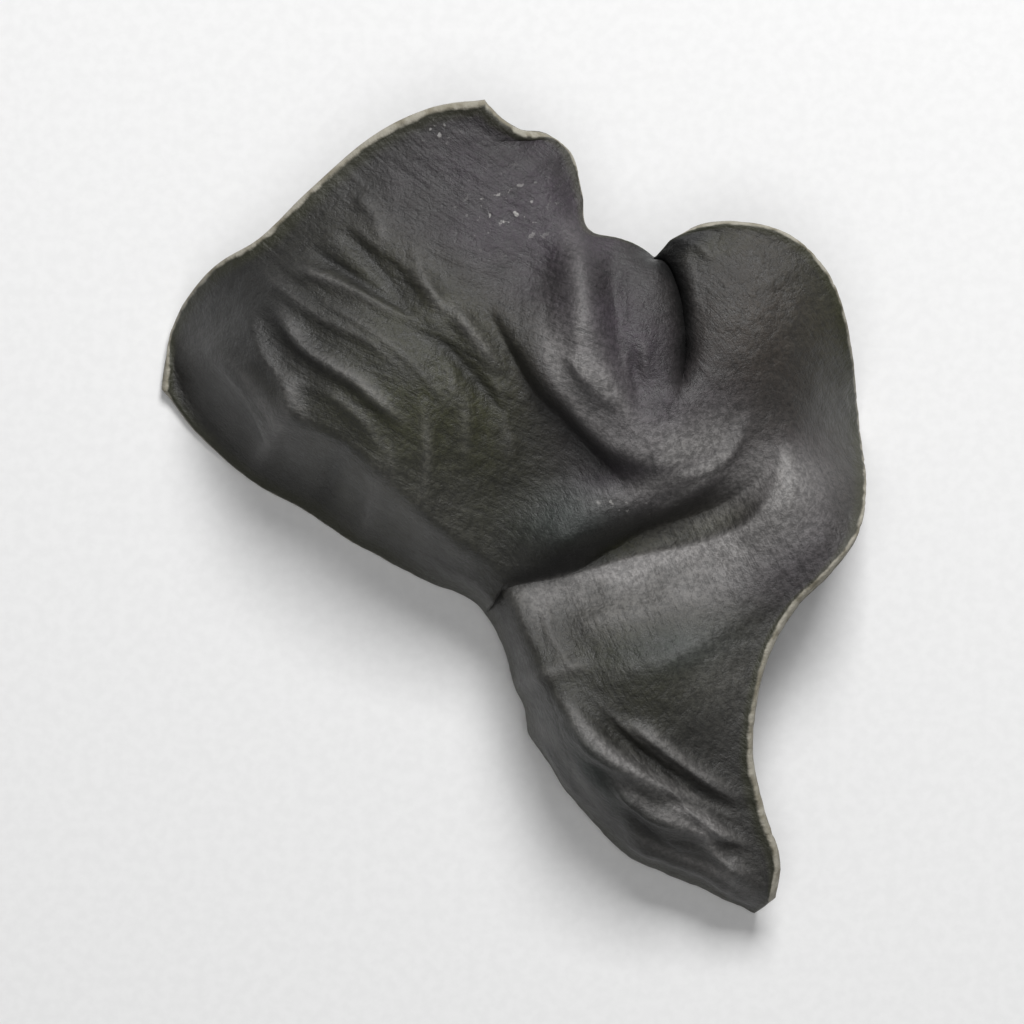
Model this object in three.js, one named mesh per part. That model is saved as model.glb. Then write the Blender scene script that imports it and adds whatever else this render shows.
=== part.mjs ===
// One sheet of dried kelp: a torn, leathery piece of blade that dried cupped and folded.
// Millimetres, +Z up. It rests on z = 0 on its hem, its left corner, its right edge and its tip.
// The mid-surface is a patch between three torn edges, raised by named folds, and then
// given the blade's thickness.
import * as THREE from "three";

// ---- driving sizes, mm ---------------------------------------------------------------------
const THICKNESS = 1.0;          // dried blade
const BEVEL = 0.25;             // how far the torn edge leans back, seen from above
const LIP_HEIGHT = 0.9;         // the torn edge curls up as it dries
const LIP_WIDTH = 1.1;
const COLUMN_GAP = 2.2;         // facet length along the long torn edge
const SLIT_COLUMN_GAP = 1.0;    // and where it passes the slit
const SLIT_COLUMNS = [6, 20];   // between these x, on the upper side
const ROWS = 34;                // facets across the sheet
const PROBE_U = 0.002;          // step for reading the blade's face direction
const PROBE_V = 0.006;
const HEM_CROWDING = 1.3;       // more than 1 packs the rows toward the steep hem side
const COLOUR = 0x3b3a36;

// ---- the torn edges: x, y and the height of the sheet there --------------------------------
const LONG_EDGE = [             // from the top corner round the right lobe to the tip
  [-2.7, 39.0, 15.6], [-1.0, 37.1, 15.4], [1.2, 35.9, 15.2], [3.6, 35.8, 15.0], [5.7, 33.9, 14.8],
  [6.6, 30.3, 14.6], [7.2, 26.7, 14.4], [10.2, 26.0, 14.1], [13.8, 26.1, 13.8], [17.1, 27.0, 13.5],
  [20.7, 27.5, 13.2], [24.6, 27.0, 12.8], [27.6, 25.5, 12.2], [30.3, 22.5, 11.2], [31.8, 18.9, 10.0],
  [33.0, 13.8, 8.2], [33.9, 7.8, 7.0], [34.2, 2.4, 8.6], [33.3, -2.1, 10.4], [30.6, -5.7, 11.2],
  [27.3, -9.0, 11.4], [24.6, -13.8, 11.4], [23.4, -18.6, 10.8], [23.1, -23.7, 9.8], [24.3, -29.1, 8.2],
  [25.8, -33.9, 6.6], [25.2, -38.1, 5.2],
];
const SHORT_EDGE = [            // from the left corner up to the top corner
  [-34.2, 11.7, 0.0], [-33.6, 16.8, 3.0], [-31.8, 20.4, 5.4], [-28.5, 23.7, 8.0], [-24.3, 26.1, 10.0],
  [-19.5, 30.6, 12.2], [-13.8, 35.4, 14.0], [-8.4, 38.1, 15.0], [-2.7, 39.0, 15.6],
];
const HEM = [                   // from the left corner to the tip; height is that of the shoulder
  [-34.2, 11.7, 0.0], [-30.9, 7.5, 6.0], [-25.8, 3.0, 10.5], [-20.4, 0.0, 13.0], [-15.3, -3.3, 13.5],
  [-9.0, -6.6, 12.4], [-3.6, -9.0, 11.6], [-0.9, -12.9, 12.8], [0.9, -18.3, 12.8], [4.2, -25.2, 11.4],
  [10.5, -33.0, 8.6], [17.7, -36.6, 6.4], [24.0, -39.3, 5.0],
];
const HEM_FLOOR = 0.5;          // the hem's own mid-surface lies half a thickness up
const HEM_SHIFT = 0.15;         // how far the hem's share runs ahead of the long edge's
const HEM_SHIFT_SPAN = 0.6;     // and over which share of the edge
const BOW = 5;                  // the lines across bow to the right by this much
const BOW_SPAN = 0.5;           // over this share of the long edge
// Along the hem, by its share: the width in plan of the side above it, and how much of the
// side's height stands right at the hem, as a brim.
const HEM_SIDE = [[0, 8], [0.12, 9], [0.3, 8], [0.38, 6], [0.5, 4], [0.8, 4], [1, 3]];
const HEM_BRIM = [[0, 0.1], [0.1, 0.2], [0.3, 0.25], [0.4, 0.4], [0.5, 1]];

// ---- the relief -----------------------------------------------------------------------------
const DOMES = [                 // centre, radii, turn in degrees, height
  { name: "left lobe", at: [-14.5, 15.0], radii: [15, 12], turn: -30, height: 3.0 },
  { name: "right lobe", at: [25.5, 13.8], radii: [9.5, 15], turn: 5, height: 4.2 },
  { name: "tongue", at: [11.5, 12.5], radii: [8.5, 11], turn: 10, height: 1.2 },
  { name: "lower lobe", at: [13.5, -15.0], radii: [9, 8], turn: 20, height: 2.4 },
  { name: "neck", at: [24.5, -0.5], radii: [8, 8], turn: 0, height: 3.0 },
  { name: "right foot", at: [35.4, 8.5], radii: [5, 6], turn: 0, height: -10.4 },
  { name: "left foot", at: [-33.5, 18.5], radii: [5, 6], turn: -30, height: -4.25 },
];
// Round folds and sharp creases follow a path; left and right are the widths on either side,
// and fade is how softly they start and end.
const FOLDS = [
  { name: "roll beside the notch", height: -2.5, left: 3.0, right: 3.0, fade: [2, 3],
    path: [[2.4, 37.5], [5.4, 34.5], [6.6, 30.3], [7.2, 26.1]] },
  { name: "ridge of the tongue", height: 1.8, left: 2.6, right: 2.4, fade: [6, 5],
    path: [[4.5, 30.0], [5.7, 25.5], [6.3, 19.8], [8.1, 13.5]] },
  { name: "trough beside the ridge", height: -1.3, left: 1.8, right: 1.6, fade: [3, 3],
    path: [[9.3, 22.8], [9.6, 15.9], [12.3, 11.1]] },
  { name: "outer edge of the terrace under the pad", height: 1.5, left: 3.0, right: 1.4, fade: [4, 3],
    path: [[1.8, -2.6], [4.8, -2.4], [8.0, -1.2], [12.0, -0.2], [15.5, 1.4], [19.0, 3.6]] },
];
const CREASES = [
  { name: "ridge beside the end of the valley", height: 1.2, left: 1.2, right: 1.3, fade: [3, 4],
    path: [[22.0, -1.3], [25.0, 0.6], [26.3, 3.0], [26.3, 6.0]] },
  { name: "shoulder of the lower lobe", height: 0.9, left: 1.2, right: 1.2, fade: [2, 3],
    path: [[0.0, -8.7], [2.1, -13.8], [6.9, -20.1], [11.4, -25.8], [16.8, -31.5]] },
  { name: "left shoulder", height: 1.0, left: 1.3, right: 1.2, fade: [3, 3],
    path: [[-25.8, 16.5], [-22.8, 9.9], [-19.2, 3.9]] },
  { name: "lower wrinkle of the left lobe", height: 0.9, left: 1.2, right: 1.0, fade: [2, 3],
    path: [[-21.9, 18.6], [-19.8, 15.6], [-16.8, 13.5], [-14.4, 12.0], [-11.4, 9.3]] },
  { name: "upper wrinkle of the left lobe", height: 0.8, left: 1.2, right: 1.0, fade: [2, 2],
    path: [[-17.7, 21.6], [-14.4, 20.4], [-11.4, 18.9], [-9.0, 17.7], [-6.6, 16.2]] },
  { name: "first pucker", height: 0.9, left: 1.1, right: 1.0, fade: [2, 3],
    path: [[6.0, -20.7], [11.1, -24.6], [17.4, -27.9]] },
  { name: "second pucker", height: 0.9, left: 1.1, right: 1.0, fade: [2, 3],
    path: [[10.2, -26.4], [13.2, -28.8], [18.6, -31.2]] },
];
const VALLEY = {                // under the tongue: steep on the tongue's side, long on the other
  height: -3.0, left: 2.0, right: 8.0, rounding: 1.0, fade: [4, 4],
  path: [[-2.4, -8.6], [0.6, -7.3], [4.8, -6.3], [8.1, -5.2], [13.2, -3.7], [19.2, -1.9],
    [22.2, -0.7], [24.3, 0.6]],
};
const PAD = {                   // small cliff round the foot of the tongue
  height: 3.4, width: 0.7, fade: [6, 6],
  path: [[0.0, 16.0], [2.8, 11.7], [5.2, 9.4], [7.6, 7.0], [9.6, 5.0], [11.8, 4.0], [14.4, 3.6],
    [17.4, 4.6]],
};
const SLIT = {                  // the sheet dips sharply between the tongue and the right lobe
  depth: 3.6, left: 1.3, right: 1.3, fade: 3,
  path: [[12.9, 27.0], [14.8, 23.7], [15.9, 21.0], [16.4, 18.0], [16.5, 15.0], [16.2, 12.6]],
};
// The torn edge dips where the tongue curls into the slit, above y = yMin alone.
const DIP = { x: 13.6, halfWidth: 2.6, depth: 2.0, drop: 1.2, reach: 7, yMin: 10 };

// ---- small helpers --------------------------------------------------------------------------
const mix = (a, b, t) => a + (b - a) * t;
const clamp = (x, low, high) => Math.min(high, Math.max(low, x));

function smooth(from, to, x) {
  const t = clamp((x - from) / (to - from), 0, 1);
  return t * t * (3 - 2 * t);
}

// Straight-line reading of a list of [position, value] pairs.
function read(pairs, x) {
  if (x <= pairs[0][0]) return pairs[0][1];
  for (let i = 1; i < pairs.length; i += 1) {
    const [a, va] = pairs[i - 1];
    const [b, vb] = pairs[i];
    if (x <= b) return mix(va, vb, (x - a) / (b - a));
  }
  return pairs[pairs.length - 1][1];
}

// A smooth curve through its points, read by the share of its length in plan.
class Curve {
  constructor(points, steps) {
    const n = points.length;
    const before = points[0].map((c, k) => 2 * c - points[1][k]);
    const after = points[n - 1].map((c, k) => 2 * c - points[n - 2][k]);
    const all = [before, ...points, after];
    this.points = [];
    for (let i = 1; i < all.length - 2; i += 1) {
      for (let k = 0; k < steps; k += 1) this.points.push(between(all, i, k / steps));
    }
    this.points.push(points[n - 1]);
    this.share = [0];
    for (let i = 1; i < this.points.length; i += 1) {
      const [a, b] = [this.points[i - 1], this.points[i]];
      this.share.push(this.share[i - 1] + Math.hypot(b[0] - a[0], b[1] - a[1]));
    }
    this.length = this.share[this.share.length - 1];
    this.share = this.share.map((s) => s / this.length);
    this.nodes = this.share.filter((s, i) => i % steps === 0);
  }

  at(t) {
    const last = this.points.length - 1;
    let i = 1;
    while (i < last && this.share[i] < t) i += 1;
    const span = this.share[i] - this.share[i - 1];
    const k = clamp((t - this.share[i - 1]) / span, 0, 1);
    return this.points[i].map((c, axis) => mix(this.points[i - 1][axis], c, k));
  }
}

// The point at t between p[i] and p[i + 1], on the curve that passes through all of them.
function between(p, i, t) {
  return p[i].map((b, k) => {
    const [a, c, d] = [p[i - 1][k], p[i + 1][k], p[i + 2][k]];
    const bend = t * (2 * a - 5 * b + 4 * c - d + t * (3 * (b - c) + d - a));
    return b + 0.5 * t * (c - a + bend);
  });
}

// Where a point lies beside a path: its distance, left of the path positive, the share of
// the path's length it has come, below 0 before the start, and the path's length.
function beside(curve, x, y) {
  let found = { near: Infinity };
  const last = curve.points.length - 2;
  for (let i = 0; i <= last; i += 1) {
    const [a, b] = [curve.points[i], curve.points[i + 1]];
    const [dx, dy, rx, ry] = [b[0] - a[0], b[1] - a[1], x - a[0], y - a[1]];
    const t = (rx * dx + ry * dy) / (dx * dx + dy * dy);
    const on = clamp(t, 0, 1);
    const near = Math.hypot(rx - on * dx, ry - on * dy);
    if (near < found.near) {
      const open = clamp(t, i === 0 ? -1e9 : 0, i === last ? 1e9 : 1);
      const side = dx * ry - dy * rx < 0 ? -1 : 1;
      found = {
        near,
        distance: side * Math.hypot(rx - open * dx, ry - open * dy),
        along: mix(curve.share[i], curve.share[i + 1], open) * curve.length,
      };
    }
  }
  return found;
}

const PATH_STEPS = 6;
for (const line of [...FOLDS, ...CREASES, VALLEY, PAD, SLIT]) {
  line.curve = new Curve(line.path, PATH_STEPS);
}

function fadeEnds(along, length, [start, end]) {
  return smooth(-start, start, along) * (1 - smooth(length - end, length + end, along));
}

// ---- the relief as functions of x and y -----------------------------------------------------
function domeHeight(dome, x, y) {
  const turn = THREE.MathUtils.degToRad(dome.turn);
  const [dx, dy] = [x - dome.at[0], y - dome.at[1]];
  const a = (dx * Math.cos(turn) + dy * Math.sin(turn)) / dome.radii[0];
  const b = (-dx * Math.sin(turn) + dy * Math.cos(turn)) / dome.radii[1];
  return dome.height * Math.exp(-a * a - b * b);
}

function lineHeight(line, x, y, profile) {
  const { distance, along } = beside(line.curve, x, y);
  const q = distance / (distance > 0 ? line.left : line.right);
  return line.height * profile(q) * fadeEnds(along, line.curve.length, line.fade);
}

const roundFold = (q) => Math.exp(-q * q);
const sharpCrease = (q) => Math.exp(1 - Math.sqrt(1 + q * q));

function valleyHeight(x, y) {
  const { distance, along } = beside(VALLEY.curve, x, y);
  const off = Math.hypot(distance, VALLEY.rounding) - VALLEY.rounding;
  const width = distance > 0 ? VALLEY.left : VALLEY.right;
  return VALLEY.height * Math.exp(-off / width) * fadeEnds(along, VALLEY.curve.length, VALLEY.fade);
}

// How far a point lies past `there`, on the line that comes from `here`.
function beyond(x, y, here, there) {
  const [dx, dy] = [there[0] - here[0], there[1] - here[1]];
  return ((x - there[0]) * dx + (y - there[1]) * dy) / Math.hypot(dx, dy);
}

function padHeight(x, y) {
  const { path, fade: [start, end] } = PAD;
  const rise = 0.5 + 0.5 * Math.tanh(beside(PAD.curve, x, y).distance / PAD.width);
  const begun = 1 - smooth(-start, start, beyond(x, y, path[1], path[0]));
  const ended = smooth(-end, end, beyond(x, y, path[path.length - 2], path[path.length - 1]));
  return PAD.height * rise * begun * (1 - ended);
}

// ---- the sheet ------------------------------------------------------------------------------
const EDGE_STEPS = 16;
const longEdge = new Curve(LONG_EDGE, EDGE_STEPS);
const shortEdge = new Curve(SHORT_EDGE, EDGE_STEPS);
const hem = new Curve(HEM, EDGE_STEPS);

function hemShare(u) {
  const wave = Math.sin(Math.PI * Math.min(u / HEM_SHIFT_SPAN, 1));
  return u + HEM_SHIFT * wave * wave;
}

// The plain patch between the edges: u runs along the long edge, v from the hem to it. The
// lines across bow to the right, so that they meet the long edge more squarely.
function patch(u, v) {
  const p = straightPatch(u, v);
  p[0] += BOW * 4 * v * (1 - v) * Math.sin(Math.PI * Math.min(u / BOW_SPAN, 1));
  return p;
}

function straightPatch(u, v) {
  const [low, high] = [hem.at(hemShare(u)), longEdge.at(u)];
  const [left, tipLow, tipHigh] = [shortEdge.at(v), hem.at(1), longEdge.at(1)];
  const [cornerLow, cornerHigh] = [hem.at(0), longEdge.at(0)];
  return low.map((_, k) => {
    const across = mix(low[k], high[k], v);
    const along = mix(left[k], mix(tipLow[k], tipHigh[k], v), u);
    const corners = mix(mix(cornerLow[k], cornerHigh[k], v), mix(tipLow[k], tipHigh[k], v), u);
    return across + along - corners;
  });
}

// The side that drops from the shoulder to the hem: a low brim, then the steep part.
function hemRise(share, inset) {
  const t = clamp(inset / read(HEM_SIDE, share), 0, 1);
  const brim = read(HEM_BRIM, share);
  const brimPart = brim > 0.9 ? Math.sin((Math.PI / 2) * t) : smooth(0, 0.45, t);
  return brim * brimPart + (1 - brim) * smooth(0.25, 1, t);
}

const planDistance = (a, b) => Math.hypot(a[0] - b[0], a[1] - b[1]);

function surface(u, v) {
  const p = patch(u, v);
  const [x, y, base] = p;
  const edge = Math.min(planDistance(p, longEdge.at(u)), planDistance(p, shortEdge.at(v)));
  let top = base + padHeight(x, y) + valleyHeight(x, y);
  for (const dome of DOMES) top += domeHeight(dome, x, y);
  for (const fold of FOLDS) top += lineHeight(fold, x, y, roundFold);
  const share = hemShare(u);
  let z = mix(HEM_FLOOR, top, hemRise(share, planDistance(p, hem.at(share))));
  for (const crease of CREASES) z += lineHeight(crease, x, y, sharpCrease);
  return atTheEdge(x, y, z, edge);
}

// The slit, and the dip of the torn edge into it. Elsewhere the torn edge curls up in a
// narrow lip.
function atTheEdge(x, y, z, edge) {
  const { distance, along } = beside(SLIT.curve, x, y);
  const { length } = SLIT.curve;
  const groove = sharpCrease(distance / (distance > 0 ? SLIT.left : SLIT.right))
    * (1 - smooth(length - SLIT.fade, length + SLIT.fade, along));
  const off = (x - DIP.x) / DIP.halfWidth;
  const near = y > DIP.yMin ? 1 - smooth(0, DIP.reach, edge) : 0;
  const dip = Math.exp(-off * off) * near;
  const lip = LIP_HEIGHT * Math.exp(-edge / LIP_WIDTH) * (1 - dip);
  return new THREE.Vector3(x, y - DIP.depth * dip, z - SLIT.depth * groove - DIP.drop * dip + lip);
}

// ---- the grid of facets ---------------------------------------------------------------------
function columnShares() {
  const shares = [0];
  for (let i = 1; i < longEdge.nodes.length; i += 1) {
    const [a, b] = [longEdge.nodes[i - 1], longEdge.nodes[i]];
    const [x, y] = longEdge.at((a + b) / 2);
    const atSlit = y > 0 && x > SLIT_COLUMNS[0] && x < SLIT_COLUMNS[1];
    const gap = atSlit ? SLIT_COLUMN_GAP : COLUMN_GAP;
    const parts = Math.max(1, Math.ceil(((b - a) * longEdge.length) / gap));
    for (let k = 1; k <= parts; k += 1) shares.push(mix(a, b, k / parts));
  }
  return shares;
}

function rowShares() {
  return Array.from({ length: ROWS + 1 }, (_, j) => (j / ROWS) ** HEM_CROWDING);
}

// The blade's own face direction at a point of the sheet.
function normalAt(u, v) {
  const along = surface(Math.min(u + PROBE_U, 1), v).sub(surface(Math.max(u - PROBE_U, 0), v));
  const across = surface(u, Math.min(v + PROBE_V, 1)).sub(surface(u, Math.max(v - PROBE_V, 0)));
  return along.cross(across).normalize();
}

// One face of the sheet: the mid-surface moved by offset along its normal. Trim pulls the two
// torn edges in by that many millimetres.
function faceGrid(columns, rows, offset, trim) {
  return columns.map((share) => {
    const u = mix(trim / longEdge.length, 1, share);
    const across = Math.max(8, planDistance(longEdge.at(u), hem.at(hemShare(u))));
    return rows.map((row) => {
      const v = row * (1 - trim / across);
      return surface(u, v).addScaledVector(normalAt(u, v), offset);
    });
  });
}

// Walks round the border of the grid once, counter-clockwise in u and v.
function borderOf(columnCount, rowCount) {
  const border = [];
  for (let i = 0; i < columnCount - 1; i += 1) border.push([i, 0]);
  for (let j = 0; j < rowCount - 1; j += 1) border.push([columnCount - 1, j]);
  for (let i = columnCount - 1; i > 0; i -= 1) border.push([i, rowCount - 1]);
  for (let j = rowCount - 1; j > 0; j -= 1) border.push([0, j]);
  return border;
}

// A cell's two triangles, split along its shorter diagonal; both faces use the same split.
function splitCell(grid, i, j) {
  const corners = [[i, j], [i + 1, j], [i + 1, j + 1], [i, j + 1]];
  const [p, q, r, s] = corners.map(([a, b]) => grid[a][b]);
  const [a, b, c, d] = corners;
  return p.distanceTo(r) < q.distanceTo(s) ? [[a, b, c], [a, c, d]] : [[a, b, d], [b, c, d]];
}

function sheetGeometry() {
  const [columns, rows] = [columnShares(), rowShares()];
  const upper = faceGrid(columns, rows, THICKNESS / 2, BEVEL);
  const lower = faceGrid(columns, rows, -THICKNESS / 2, 0);
  const [nu, nv] = [columns.length, rows.length];
  const positions = [...upper.flat(), ...lower.flat()].flatMap((p) => p.toArray());
  const top = (i, j) => i * nv + j;
  const under = (i, j) => nu * nv + i * nv + j;
  const faces = [];
  for (let i = 0; i < nu - 1; i += 1) {
    for (let j = 0; j < nv - 1; j += 1) {
      for (const [a, b, c] of splitCell(lower, i, j)) {
        faces.push(top(...a), top(...b), top(...c));
        faces.push(under(...a), under(...c), under(...b));
      }
    }
  }
  const border = borderOf(nu, nv);
  border.forEach(([i, j], k) => {
    const [ni, nj] = border[(k + 1) % border.length];
    faces.push(top(i, j), under(i, j), under(ni, nj));
    faces.push(top(i, j), under(ni, nj), top(ni, nj));
  });
  const geometry = new THREE.BufferGeometry();
  geometry.setAttribute("position", new THREE.Float32BufferAttribute(positions, 3));
  geometry.setIndex(faces);
  return geometry;
}

// Puts the middle of the box over the origin and its underside on z = 0.
function seat(geometry) {
  geometry.computeBoundingBox();
  const { min, max } = geometry.boundingBox;
  geometry.translate(-(min.x + max.x) / 2, -(min.y + max.y) / 2, -min.z);
  geometry.computeVertexNormals();
  return geometry;
}

const material = new THREE.MeshStandardMaterial({ color: COLOUR, roughness: 0.55 });
const sheet = new THREE.Mesh(seat(sheetGeometry()), material);
sheet.name = "kelp_sheet";

const part = new THREE.Group();
part.name = "dried_kelp_sheet";
part.add(sheet);

export default part;
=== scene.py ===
"""Looks of one dried kelp sheet: a torn, leathery piece of blade that dried cupped and folded.

The tables hold millimetres, in a plan with +Y towards the top corner. The mid-surface is a patch
between three torn edges, raised by named folds. The finished mesh is moved into the frame's box.
"""
import math

import bpy
import numpy as np
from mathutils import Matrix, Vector


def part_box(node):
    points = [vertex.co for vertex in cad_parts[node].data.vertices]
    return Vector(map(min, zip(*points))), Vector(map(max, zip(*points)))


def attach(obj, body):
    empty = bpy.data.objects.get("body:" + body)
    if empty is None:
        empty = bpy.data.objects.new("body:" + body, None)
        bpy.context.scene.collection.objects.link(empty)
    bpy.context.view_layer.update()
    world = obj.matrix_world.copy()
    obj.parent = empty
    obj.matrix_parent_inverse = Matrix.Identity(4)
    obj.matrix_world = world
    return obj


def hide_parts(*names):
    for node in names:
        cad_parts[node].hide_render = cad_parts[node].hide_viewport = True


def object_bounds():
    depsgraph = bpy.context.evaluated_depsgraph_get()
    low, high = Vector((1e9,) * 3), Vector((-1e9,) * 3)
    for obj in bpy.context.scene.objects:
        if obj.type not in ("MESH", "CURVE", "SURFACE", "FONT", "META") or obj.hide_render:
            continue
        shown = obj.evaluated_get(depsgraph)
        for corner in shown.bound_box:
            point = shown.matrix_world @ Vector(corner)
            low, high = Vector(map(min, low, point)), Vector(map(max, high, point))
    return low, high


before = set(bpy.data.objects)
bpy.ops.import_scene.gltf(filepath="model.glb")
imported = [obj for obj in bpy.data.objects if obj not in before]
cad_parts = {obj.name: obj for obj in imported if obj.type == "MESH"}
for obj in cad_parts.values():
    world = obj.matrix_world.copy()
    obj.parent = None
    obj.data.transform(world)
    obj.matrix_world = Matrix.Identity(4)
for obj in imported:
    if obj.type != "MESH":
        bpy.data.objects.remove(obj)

NODE = "kelp_sheet"
MM = 0.001
cad_low, cad_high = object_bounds()

# ---- driving sizes, mm -------------------------------------------------------------------------
THICKNESS = 1.0
EDGE_ROUND = 0.55           # how far the torn edge is rounded back on the upper face
UNDER_ROUND = 0.15          # and on the underside
LIP_HEIGHT = 0.9            # the torn edge curls up as it dries
LIP_WIDTH = 1.1
NICK_DEPTH = 0.14           # of the small nicks in the torn edge
NICKS = [(90, 11), (230, 12)]       # the noise that cuts them: swells along the edge, and its seed

# ---- how fine the mesh is ----------------------------------------------------------------------
COLUMNS = 400               # along the sheet. Both are even: the underside has half as many
ROWS = 176                  # across it
EDGE_RINGS = 5              # rows of faces round the torn edge
HEM_CROWDING = 1.2          # more than 1 packs the rows toward the steep hem side
SLIT_CROWDING = 1.6         # more than 0 packs the columns where they pass the slit,
SLIT_SHARE = 0.205          # at this share of the long edge
SLIT_SPAN = 0.04            # and this far to both sides
CROWDING_PROBES = 2001
EDGE_STEPS = 16             # straight pieces from one point of a torn edge to the next
PATH_STEPS = 6              # and on the path of a fold
NORMAL_PASSES = 16          # how often the upper face's directions are evened out
UNDER_PASSES = 4            # and the underside's

# ---- the torn edges: x, y and the height of the sheet there ------------------------------------
LONG_EDGE = [               # from the top corner round the right lobe to the tip
    [-2.7, 39.0, 15.6], [-1.0, 37.1, 15.4], [1.2, 35.9, 15.2], [3.6, 35.8, 15.0], [5.7, 33.9, 14.8],
    [6.6, 30.3, 14.6], [7.2, 26.7, 14.4], [10.2, 26.0, 14.1], [13.8, 26.1, 13.8], [17.1, 27.0, 13.5],
    [20.7, 27.5, 13.2], [24.6, 27.0, 12.8], [27.6, 25.5, 12.2], [30.3, 22.5, 11.2], [31.8, 18.9, 10.0],
    [33.0, 13.8, 8.2], [33.9, 7.8, 7.0], [34.2, 2.4, 8.6], [33.3, -2.1, 10.4], [30.6, -5.7, 11.2],
    [27.3, -9.0, 11.4], [24.6, -13.8, 11.4], [23.4, -18.6, 10.8], [23.1, -23.7, 9.8], [24.3, -29.1, 8.2],
    [25.8, -33.9, 6.6], [25.2, -38.1, 5.2],
]
SHORT_EDGE = [              # from the left corner up to the top corner
    [-34.2, 11.7, 0.0], [-33.6, 16.8, 3.0], [-31.8, 20.4, 5.4], [-28.5, 23.7, 8.0], [-24.3, 26.1, 10.0],
    [-19.5, 30.6, 12.2], [-13.8, 35.4, 14.0], [-8.4, 38.1, 15.0], [-2.7, 39.0, 15.6],
]
HEM = [                     # from the left corner to the tip; height is that of the shoulder
    [-34.2, 11.7, 0.0], [-30.9, 7.5, 6.0], [-25.8, 3.0, 10.5], [-20.4, 0.0, 13.0], [-15.3, -3.3, 13.5],
    [-9.0, -6.6, 12.4], [-3.6, -9.0, 11.6], [-0.9, -12.9, 12.8], [0.9, -18.3, 12.8], [4.2, -25.2, 11.4],
    [10.5, -33.0, 8.6], [17.7, -36.6, 6.4], [24.0, -39.3, 5.0],
]
HEM_FLOOR = 0.5             # the hem's own mid-surface lies half a thickness up
HEM_SHIFT = 0.15            # how far the hem's share runs ahead of the long edge's
HEM_SHIFT_SPAN = 0.6        # and over which share of the edge
BOW = 5                     # the lines across bow to the right by this much
BOW_SPAN = 0.5              # over this share of the long edge
ACROSS_MIN = 8              # the sheet counts as this wide where it runs out at a corner
MEAN_LENGTH = 0.75          # of the lines along the sheet, as a share of the long edge
# Along the hem, by its share: the width in plan of the side above it, and how much of the
# side's height stands right at the hem, as a brim.
HEM_SIDE = [[0, 8], [0.12, 9], [0.3, 8], [0.38, 6], [0.5, 4], [0.8, 4], [1, 3]]
HEM_BRIM = [[0, 0.1], [0.1, 0.2], [0.3, 0.25], [0.4, 0.4], [0.5, 1]]
WHOLE_BRIM = 0.9            # with more of the height than this the brim is the whole side
BRIM_END = 0.45             # else it ends at this share of the side's width
STEEP_START = 0.25          # and the steep part starts at this one

# ---- the relief --------------------------------------------------------------------------------
DOMES = [                   # centre, radii, turn in degrees, height
    [(-14.5, 15.0), (15, 12), -30, 3.0],        # left lobe
    [(25.5, 13.8), (9.5, 15), 5, 4.2],          # right lobe
    [(11.5, 12.5), (8.5, 11), 10, 1.2],         # tongue
    [(13.5, -15.0), (9, 8), 20, 2.4],           # lower lobe
    [(24.5, -0.5), (8, 8), 0, 3.0],             # neck
    [(35.4, 8.5), (5.0, 6.0), 0, -10.4],        # right foot
    [(-33.5, 18.5), (5, 6), -30, -4.25],        # left foot
]
# Round folds, sharp creases and wrinkles: height, width on the left of the path and on its
# right, how softly it starts and ends, and the path.
FOLDS = [
    # roll beside the notch
    [-2.5, 3.0, 3.0, (2, 3), [(2.4, 37.5), (5.4, 34.5), (6.6, 30.3), (7.2, 26.1)]],
    # ridge of the tongue, and the trough beside it
    [1.8, 2.6, 2.4, (6, 5), [(4.5, 30.0), (5.7, 25.5), (6.3, 19.8), (8.1, 13.5)]],
    [-1.3, 1.8, 1.6, (3, 3), [(9.3, 22.8), (9.6, 15.9), (12.3, 11.1)]],
    # outer edge of the terrace under the pad
    [1.5, 3.0, 1.4, (4, 3), [(1.8, -2.6), (4.8, -2.4), (8.0, -1.2), (12.0, -0.2), (15.5, 1.4),
                             (19.0, 3.6)]],
]
# valley under the tongue: steep on the tongue's side and long on the other
VALLEY = [-3.0, 1.2, 8.0, (4, 4), [(-2.4, -8.6), (0.6, -7.3), (4.8, -6.3), (8.1, -5.2), (13.2, -3.7),
                                   (19.2, -1.9), (22.2, -0.7), (24.3, 0.6)]]
VALLEY_ROUND = 0.6          # radius of its bottom
VALLEY_FLOOR, VALLEY_FLOOR_SPAN = 2.0, (8, 18)      # its floor widens to this along that stretch
CREASES = [
    # ridge beside the end of the valley, and shoulder of the lower lobe
    [1.2, 0.9, 1.2, (3, 4), [(22.0, -1.3), (25.0, 0.6), (26.3, 3.0), (26.3, 6.0)]],
    [0.9, 1.0, 1.0, (2, 3), [(0.0, -8.7), (2.1, -13.8), (6.9, -20.1), (11.4, -25.8), (16.8, -31.5)]],
    # left shoulder
    [1.0, 1.3, 1.1, (3, 3), [(-25.8, 16.5), (-22.8, 9.9), (-19.2, 3.9)]],
]
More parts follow.
